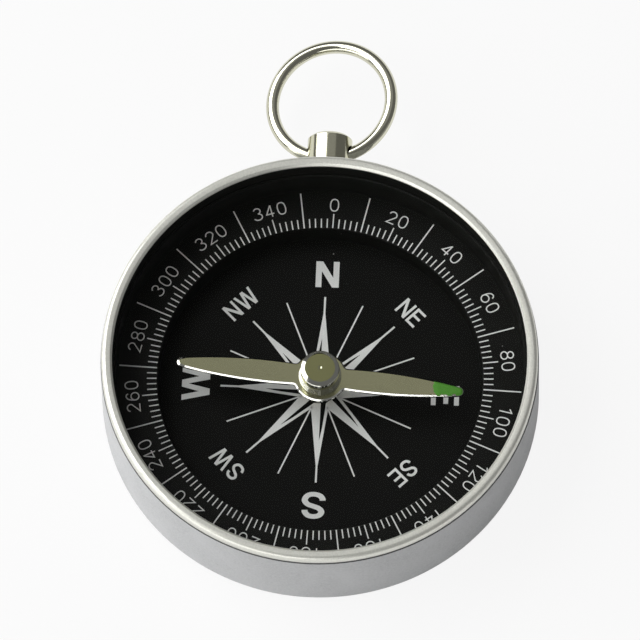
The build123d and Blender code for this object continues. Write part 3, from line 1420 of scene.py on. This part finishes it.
@dataclass
class Needle:
    """Blade with its turned cap, bearing and luminous paint."""

    turn: float = -4.65
    half_length: float = 16.6 * MM
    root_half: float = 1.05 * MM
    belly_half: float = 1.27 * MM
    belly_share: float = 0.6
    tip_half: float = 0.54 * MM
    tip_length: float = 0.5 * MM
    hub_radius: float = 3.05 * MM
    corner_radius: float = 0.5 * MM
    edge_width: float = 0.155 * MM
    edge_height: float = 0.13 * MM
    tip_flare: float = 0.6
    tip_shallow: float = 0.2
    under_edge: float = 0.05 * MM
    sharpest_turn: float = 0.5
    tip_steps: int = 10
    side_steps: int = 60
    corner_steps: int = 8
    hub_steps: int = 24
    blade_crease: float = 12.0
    lume_seed: int = 11
    lume_margin: float = 0.05 * MM
    lume_stop: float = 1.1
    lume_length: float = 3.5 * MM
    lume_height: float = 0.05 * MM
    lume_rim: float = 0.2
    lume_sink: float = 0.015 * MM
    lume_slant: float = 0.6 * MM
    lume_slant_power: float = 1.5
    lume_fray: float = 2.0
    lume_near_fray: Point = (0.3, 0.9)
    lume_far_fray: Point = (0.6, 1.5)
    lume_bare: float = 0.22 * MM
    lume_bare_share: float = 0.03
    lume_bare_spots: int = 6
    lume_bare_run: Point = (0.10, 0.75)
    lume_stations: int = 60
    lume_crowding: float = 1.6
    lume_lanes: int = 18
    lume_mound_power: float = 0.35
    lume_ends: float = 0.1
    lume_start_slope: float = 12.0
    lume_tip_slope: float = 6.0
    lume_unevenness: Point = (0.82, 1.0)
    lume_crease: float = 60.0
    head_radius: float = 2.23 * MM
    bevel_width: float = 0.50 * MM
    bevel_height: float = 0.25 * MM
    edge_round: float = 0.04 * MM
    round_middle: float = 0.3
    brow_outer: Point = (1.3, 0.75)
    brow_inner: Point = (0.3, 0.1)
    glint_width: float = 0.05 * MM
    glint_height: float = 0.05 * MM
    dimple_radius: float = 0.19 * MM
    dimple_depth: float = 0.10 * MM
    collar_width: float = 0.22 * MM
    collar_height: float = 1.1 * MM
    collar_steps: int = 4
    groove_depth: float = 0.03 * MM
    groove_height: float = 0.04 * MM
    spigot_radius: float = 1.5 * MM
    swage_radius: float = 1.75 * MM
    swage_height: float = 0.15 * MM
    bore_radius: float = 0.95 * MM
    crown: float = 1.0 * MM
    segments: int = 128
    cap_crease: float = 9.0

    def build(self) -> List[bpy.types.Object]:
        """Makes the blade, the cap and the paint, and dresses the bearing."""
        bearing = [dress("needle_washer", PIVOT_BRASS), dress("needle_jewel", JEWEL)]
        return [self.blade()] + bearing + [self.cap(), self.lume()]

    def turned(self) -> Matrix:
        """Gives the turn from the blade's own length to the needle's bearing."""
        return Matrix.Rotation(math.radians(self.turn), 4, "Z")

    def groove(self, radius: float, low: float) -> List[Point]:
        """Gives the tool groove at the foot of a turned step.

        Args:
            radius: radius of the step.
            low: level of its foot.

        Returns:
            Radius and height of each corner.
        """
        top = low + self.groove_height
        root = radius - self.groove_depth
        return [(root, low), (root, top), (radius, top + self.edge_round)]

    def cap(self) -> bpy.types.Object:
        """Turns the cap, with softened edges and a tool groove at each step.

        Returns:
            The cap.
        """
        low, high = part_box("needle_cap")
        foot, crest = low[2], high[2]
        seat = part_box("needle_blade")[1][2]
        washer = foot + self.swage_height
        soft = self.edge_round
        middle = self.round_middle * soft
        profile = [
            (self.bore_radius, foot),
            (self.swage_radius, foot),
            (self.swage_radius, washer),
            (self.spigot_radius, washer),
            (self.spigot_radius, seat),
        ]
        rise = self.collar_height / self.collar_steps
        for step in range(self.collar_steps):
            radius = self.head_radius + self.collar_width * (1 - step / self.collar_steps)
            start = seat + rise * step
            profile += self.groove(radius, start) + [
                (radius, start + rise - soft),
                (radius - middle, start + rise - middle),
                (radius - soft, start + rise),
            ]
        shoulder = crest - self.bevel_height
        flat = self.head_radius - self.bevel_width
        profile += self.groove(self.head_radius, seat + self.collar_height) + [
            (self.head_radius, shoulder - self.glint_height),
            (self.head_radius - self.glint_width, shoulder),
            (flat + self.brow_outer[0] * soft, crest - self.brow_outer[1] * soft),
            (flat + self.brow_inner[0] * soft, crest - self.brow_inner[1] * soft),
            (flat - soft, crest),
            (self.dimple_radius + soft, crest),
            (self.dimple_radius, crest - middle),
            (0.0, crest - self.dimple_depth),
            (0.0, crest - self.crown),
            (self.bore_radius, crest - self.crown),
        ]
        metal = MeshWriter()
        metal.lathe(profile, self.segments)
        made = metal.piece(
            "turned_needle_cap", "needle", "needle_nickel", CAP_NICKEL, self.cap_crease
        )
        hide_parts("needle_cap")
        return made

    def side_arc(self) -> Triple:
        """Gives the arc along one side of the blade.

        Returns:
            The place of its middle, along and across the blade, and its radius.
        """
        ax, ay = 0.0, self.root_half
        bx, by = self.half_length * self.belly_share, self.belly_half
        cx, cy = self.half_length - self.tip_length, self.tip_half
        a, b, c = ax**2 + ay**2, bx**2 + by**2, cx**2 + cy**2
        double = 2 * (ax * (by - cy) + bx * (cy - ay) + cx * (ay - by))
        along = (a * (by - cy) + b * (cy - ay) + c * (ay - by)) / double
        across = (a * (cx - bx) + b * (ax - cx) + c * (bx - ax)) / double
        return along, across, math.hypot(ax - along, ay - across)

    def tip_arc(self) -> Triple:
        """Gives the middle, along and across the blade, and the radius of the tip's arc."""
        radius = (self.tip_half**2 + self.tip_length**2) / (2 * self.tip_length)
        return self.half_length - radius, 0.0, radius

    def edge_arc(self, along: float) -> Triple:
        """Gives the arc that the blade's edge follows at a distance from its middle."""
        at_tip = along > self.half_length - self.tip_length
        return self.tip_arc() if at_tip else self.side_arc()

    def half_at(self, along: float, inset: float) -> float:
        """Gives half the blade's width at a distance from its middle.

        Args:
            along: distance out along the blade.
            inset: distance in from the blade's edge.

        Returns:
            Half the width that is left.
        """
        middle, level, radius = self.edge_arc(along)
        reach = (radius - inset) ** 2 - (along - middle) ** 2
        return max(0.0, level + math.sqrt(max(0.0, reach)))

    def edge_at(self, along: float) -> Tuple[float, float]:
        """Gives the bevel's size, which is wider and shallower towards the tip.

        Args:
            along: distance out along the blade.

        Returns:
            The width and the height.
        """
        past = abs(along) - (self.half_length - 2 * self.tip_length)
        share = min(1.0, max(0.0, past / self.tip_length))
        width = self.edge_width * (1.0 + self.tip_flare * share)
        return width, self.edge_height * (1.0 - self.tip_shallow * share)

    def fall_at(self, along: float, across: float) -> float:
        """Gives how far the blade's upper face has fallen away towards its edge.

        Args:
            along: distance out along the blade.
            across: distance from the blade's middle line.

        Returns:
            The distance below the flat of the face.
        """
        middle, level, radius = self.edge_arc(along)
        inward = radius - math.hypot(along - middle, abs(across) - level)
        width, height = self.edge_at(along)
        short = width - min(width, max(0.0, inward))
        return short * height / width

    def side(self) -> List[Point]:
        """Gives one quarter of the blade's outline, from its tip to the top of the hub.

        Returns:
            Places along and across the blade.
        """
        tip, _, nose = self.tip_arc()
        along, across, radius = self.side_arc()
        corner = self.corner_radius
        reach, turn = self.hub_radius + corner, radius + corner
        gap = math.hypot(along, across)
        near = (reach**2 - turn**2 + gap**2) / (2 * gap)
        rise = math.sqrt(reach**2 - near**2)
        if near * along - rise * across < 0:
            rise = -rise
        middle = (
            (near * along - rise * across) / gap,
            (near * across + rise * along) / gap,
        )
        shoulder = self.half_length - self.tip_length
        points = sweep(
            (tip, 0.0), nose, 0.0, math.atan2(self.tip_half, shoulder - tip), self.tip_steps
        )
        start = math.atan2(self.tip_half - across, shoulder - along)
        end = math.atan2(middle[1] - across, middle[0] - along)
        points += sweep((along, across), radius, start, end, self.side_steps)[1:]
        foot = math.atan2(across - middle[1], along - middle[0])
        crown = math.atan2(-middle[1], -middle[0])
        points += sweep(middle, corner, foot, crown, self.corner_steps)[1:]
        hub = math.atan2(middle[1], middle[0])
        points += sweep((0.0, 0.0), self.hub_radius, hub, math.pi / 2, self.hub_steps)[1:]
        return points

    def inset(self, outline: Sequence[Point], depths: Sequence[float]) -> List[Point]:
        """Gives an outline moved inward.

        Args:
            outline: closed run of points, counter-clockwise.
            depths: distance inward at each point.

        Returns:
            The moved points.
        """
        moved = []
        count = len(outline)
        for i, (x, y) in enumerate(outline):
            before = Vector((x - outline[i - 1][0], y - outline[i - 1][1])).normalized()
            ahead = outline[(i + 1) % count]
            after = Vector((ahead[0] - x, ahead[1] - y)).normalized()
            along = (before + after).normalized()
            stretch = depths[i] / max(self.sharpest_turn, along.dot(before))
            moved.append((x - along.y * stretch, y + along.x * stretch))
        return moved

    def blade(self) -> bpy.types.Object:
        """Stamps the blade, with its hub, its hole and a bevel round its upper edge.

        Returns:
            The blade.
        """
        quarter = self.side()
        half = quarter + [(-x, y) for x, y in reversed(quarter[:-1])]
        outline = half + [(-x, -y) for x, y in half[1:-1]]
        low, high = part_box("needle_blade")
        bottom, top = low[2], high[2]
        hole = []
        for x, y in outline:
            reach = math.hypot(x, y)
            hole.append((self.spigot_radius * x / reach, self.spigot_radius * y / reach))
        count = len(outline)
        bevels = [self.edge_at(x) for x, _ in outline]
        rings = [
            (hole, [top] * count),
            (hole, [bottom] * count),
            (self.inset(outline, [self.under_edge] * count), [bottom] * count),
            (outline, [bottom + self.under_edge] * count),
            (outline, [top - height for _, height in bevels]),
            (self.inset(outline, [width for width, _ in bevels]), [top] * count),
        ]
        turn = self.turned()
        metal = MeshWriter()
        metal.skin([
            [turn @ Vector((x, y, level)) for (x, y), level in zip(ring, levels)]
            for ring, levels in rings
        ])
        made = metal.piece(
            "bevelled_blade", "needle", "needle_nickel", NEEDLE_NICKEL, self.blade_crease
        )
        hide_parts("needle_blade")
        return made

    def lume(self) -> bpy.types.Object:
        """Brushes the paint on as a low mound with a wandering edge.

        Returns:
            The patch of paint.
        """
        draw = random.Random(self.lume_seed)
        start = self.half_length - self.lume_length
        end = self.half_length - self.lume_stop * self.lume_margin
        count, lanes = self.lume_stations, self.lume_lanes
        sides = [math.sin(math.pi * (lane / lanes - 0.5)) for lane in range(lanes + 1)]
        starts = [
            self.lume_slant * max(0.0, -side) ** self.lume_slant_power
            + self.lume_margin * draw.uniform(-self.lume_fray, self.lume_fray)
            for side in sides
        ]
        spots = [draw.uniform(*self.lume_bare_run) for _ in range(self.lume_bare_spots)]
        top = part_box("needle_blade")[1][2]
        turn = self.turned()
        upper: List[Vector] = []
        lower: List[Vector] = []
        for station in range(count):
            share = station / (count - 1)
            row = start + (end - start) * (1 - (1 - share) ** self.lume_crowding)
            near_gap = self.lume_margin * draw.uniform(*self.lume_near_fray)
            far_gap = self.lume_margin * draw.uniform(*self.lume_far_fray)
            if min(abs(share - spot) for spot in spots) < self.lume_bare_share:
                near_gap = self.lume_bare
            ramp = min(1.0, self.lume_ends + self.lume_start_slope * share)
            ramp *= min(1.0, self.lume_ends + self.lume_tip_slope * (1.0 - share))
            for side, shift in zip(sides, starts):
                run = row + shift * (1.0 - share)
                across = side * self.half_at(run, far_gap if side > 0 else near_gap)
                swell = (1.0 - side**2) ** self.lume_mound_power * ramp
                swell *= draw.uniform(*self.lume_unevenness)
                thick = self.lume_height * (self.lume_rim + (1.0 - self.lume_rim) * swell)
                level = top - self.fall_at(run, across)
                upper.append(turn @ Vector((run, across, level + thick)))
                lower.append(turn @ Vector((run, across, level - self.lume_sink)))
        paint = MeshWriter()
        paint.add(upper + lower, self.paint_faces(count, lanes + 1))
        made = paint.piece(
            "brushed_lume", "needle", "lume_green", LUME_PAINT, self.lume_crease
        )
        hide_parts("needle_lume")
        return made

    def paint_faces(self, count: int, row: int) -> List[Sequence[int]]:
        """Gives the faces of a closed patch of rows, upper corners first.

        Args:
            count: number of rows.
            row: corners in a row.

        Returns:
            Runs of corner numbers.
        """
        under = count * row
        faces: List[Sequence[int]] = []
        for station in range(count - 1):
            for lane in range(row - 1):
                a = station * row + lane
                faces.append((a, a + row, a + row + 1, a + 1))
                b = under + a
                faces.append((b, b + 1, b + row + 1, b + row))
            a = station * row
            faces.append((a, under + a, under + a + row, a + row))
            a += row - 1
            faces.append((a + row, under + a + row, under + a, a))
        last = (count - 1) * row
        for lane in range(row - 1):
            faces.append((lane, lane + 1, under + lane + 1, under + lane))
            a = last + lane
            faces.append((a + 1, a, under + a, under + a + 1))
        return faces


@dataclass
class StemAndRing:
    """Turned stem and the wire ring that swings in it."""

    def build(self) -> List[bpy.types.Object]:
        """Dresses the stem and the ring."""
        return [dress("stem", STEM_NICKEL), dress("lanyard_ring", WIRE_NICKEL)]


@dataclass(frozen=True)
class Softbox:
    """A soft rectangular lamp that faces the compass."""

    name: str
    bearing: float
    elevation: float
    distance: float
    width: float
    height: float
    brightness: float

    def build(self, target: Vector) -> None:
        """Hangs the lamp.

        Args:
            target: point that the lamp faces.
        """
        lamp = bpy.data.lights.new(self.name, "AREA")
        lamp.shape = "RECTANGLE"
        lamp.size = self.width
        lamp.size_y = self.height
        lamp.energy = self.brightness * math.pi * self.width * self.height
        turn = math.radians(self.bearing)
        lift = math.radians(self.elevation)
        back = Vector((
            math.sin(turn) * math.cos(lift), math.cos(turn) * math.cos(lift), math.sin(lift)
        ))
        hung = bpy.data.objects.new(self.name, lamp)
        hung.matrix_world = (
            Matrix.Translation(target + back * self.distance)
            @ back.to_track_quat("Z", "Y").to_matrix().to_4x4()
        )
        hung.visible_camera = False
        bpy.context.scene.collection.objects.link(hung)


@dataclass
class Studio:
    """Pale floor, soft lamps and the camera."""

    lamps: ClassVar[Sequence[Softbox]] = (
        Softbox("left_softbox", bearing=-74.0, elevation=42.0, distance=0.70,
                width=0.72, height=0.66, brightness=3.5),
        Softbox("front_card", bearing=213.0, elevation=22.0, distance=0.80,
                width=1.10, height=0.44, brightness=2.0),
        Softbox("rear_card", bearing=-8.0, elevation=66.0, distance=0.90,
                width=1.10, height=0.80, brightness=0.17),
        Softbox("right_card", bearing=118.0, elevation=17.0, distance=0.80,
                width=0.70, height=0.22, brightness=0.20),
    )
    azimuth: float = 3.84
    elevation: float = 67.64
    roll: float = 2.45
    target: Triple = (-0.31 * MM, 7.30 * MM, 5.75 * MM)
    distance: float = 2.0
    pixels_per_mm: float = 8.670
    sensor: float = 36.0
    floor_half: float = 6.0
    floor_gap: float = 0.02 * MM
    world_gray: float = 0.15

    def build(self) -> None:
        """Sets up the floor, the light and the camera."""
        self.floor()
        self.light()
        self.camera()
        bpy.context.scene.view_settings.view_transform = "Standard"

    def floor(self) -> None:
        """Lays the floor just under the case."""
        level = packed_box[0][2] - self.floor_gap
        half = self.floor_half
        mesh = bpy.data.meshes.new("pale_floor")
        mesh.from_pydata(
            [(x, y, level) for x, y in bar(2 * half, -half, half)], [], [(0, 1, 2, 3)]
        )
        mesh.materials.append(FLOOR.material())
        laid = bpy.data.objects.new("pale_floor", mesh)
        bpy.context.scene.collection.objects.link(laid)

    def light(self) -> None:
        """Hangs the lamps and sets the room's gray."""
        world = bpy.data.worlds.new("studio_room")
        world.use_nodes = True
        room = world.node_tree.nodes["Background"]
        room.inputs["Color"].default_value = opaque((self.world_gray,) * 3)
        bpy.context.scene.world = world
        for lamp in self.lamps:
            lamp.build(Vector(self.target))

    def camera(self) -> None:
        """Stands the camera at the picture's viewing angle."""
        turn = math.radians(self.azimuth)
        lift = math.radians(self.elevation)
        lean = math.radians(self.roll)
        back = Vector((
            math.sin(turn) * math.cos(lift), -math.cos(turn) * math.cos(lift), math.sin(lift)
        ))
        right = (-back).cross(Vector((0.0, 1.0, 0.0))).normalized()
        up = right.cross(-back)
        leaned_right = math.cos(lean) * right + math.sin(lean) * up
        leaned_up = -math.sin(lean) * right + math.cos(lean) * up
        lens = bpy.data.cameras.new("studio_camera")
        lens.sensor_width = self.sensor
        lens.lens = self.pixels_per_mm / MM * self.distance * self.sensor / IMAGE_SIDE
        lens.clip_end = 4 * self.floor_half
        stood = bpy.data.objects.new("studio_camera", lens)
        pose = Matrix((leaned_right, leaned_up, back)).transposed().to_4x4()
        pose.translation = Vector(self.target) + back * self.distance
        stood.matrix_world = pose
        bpy.context.scene.collection.objects.link(stood)
        bpy.context.scene.camera = stood


def main() -> None:
    """Builds the compass, piece by piece, and the studio round it."""
    logging.basicConfig(level=logging.INFO, format="%(message)s")
    for part in (Case(), DegreeScale(), CompassRose(), Needle(), StemAndRing()):
        for piece in part.build():
            LOG.info("%s: %s", type(part).__name__, piece.name)
    Studio().build()


if __name__ == "__main__":
    main()
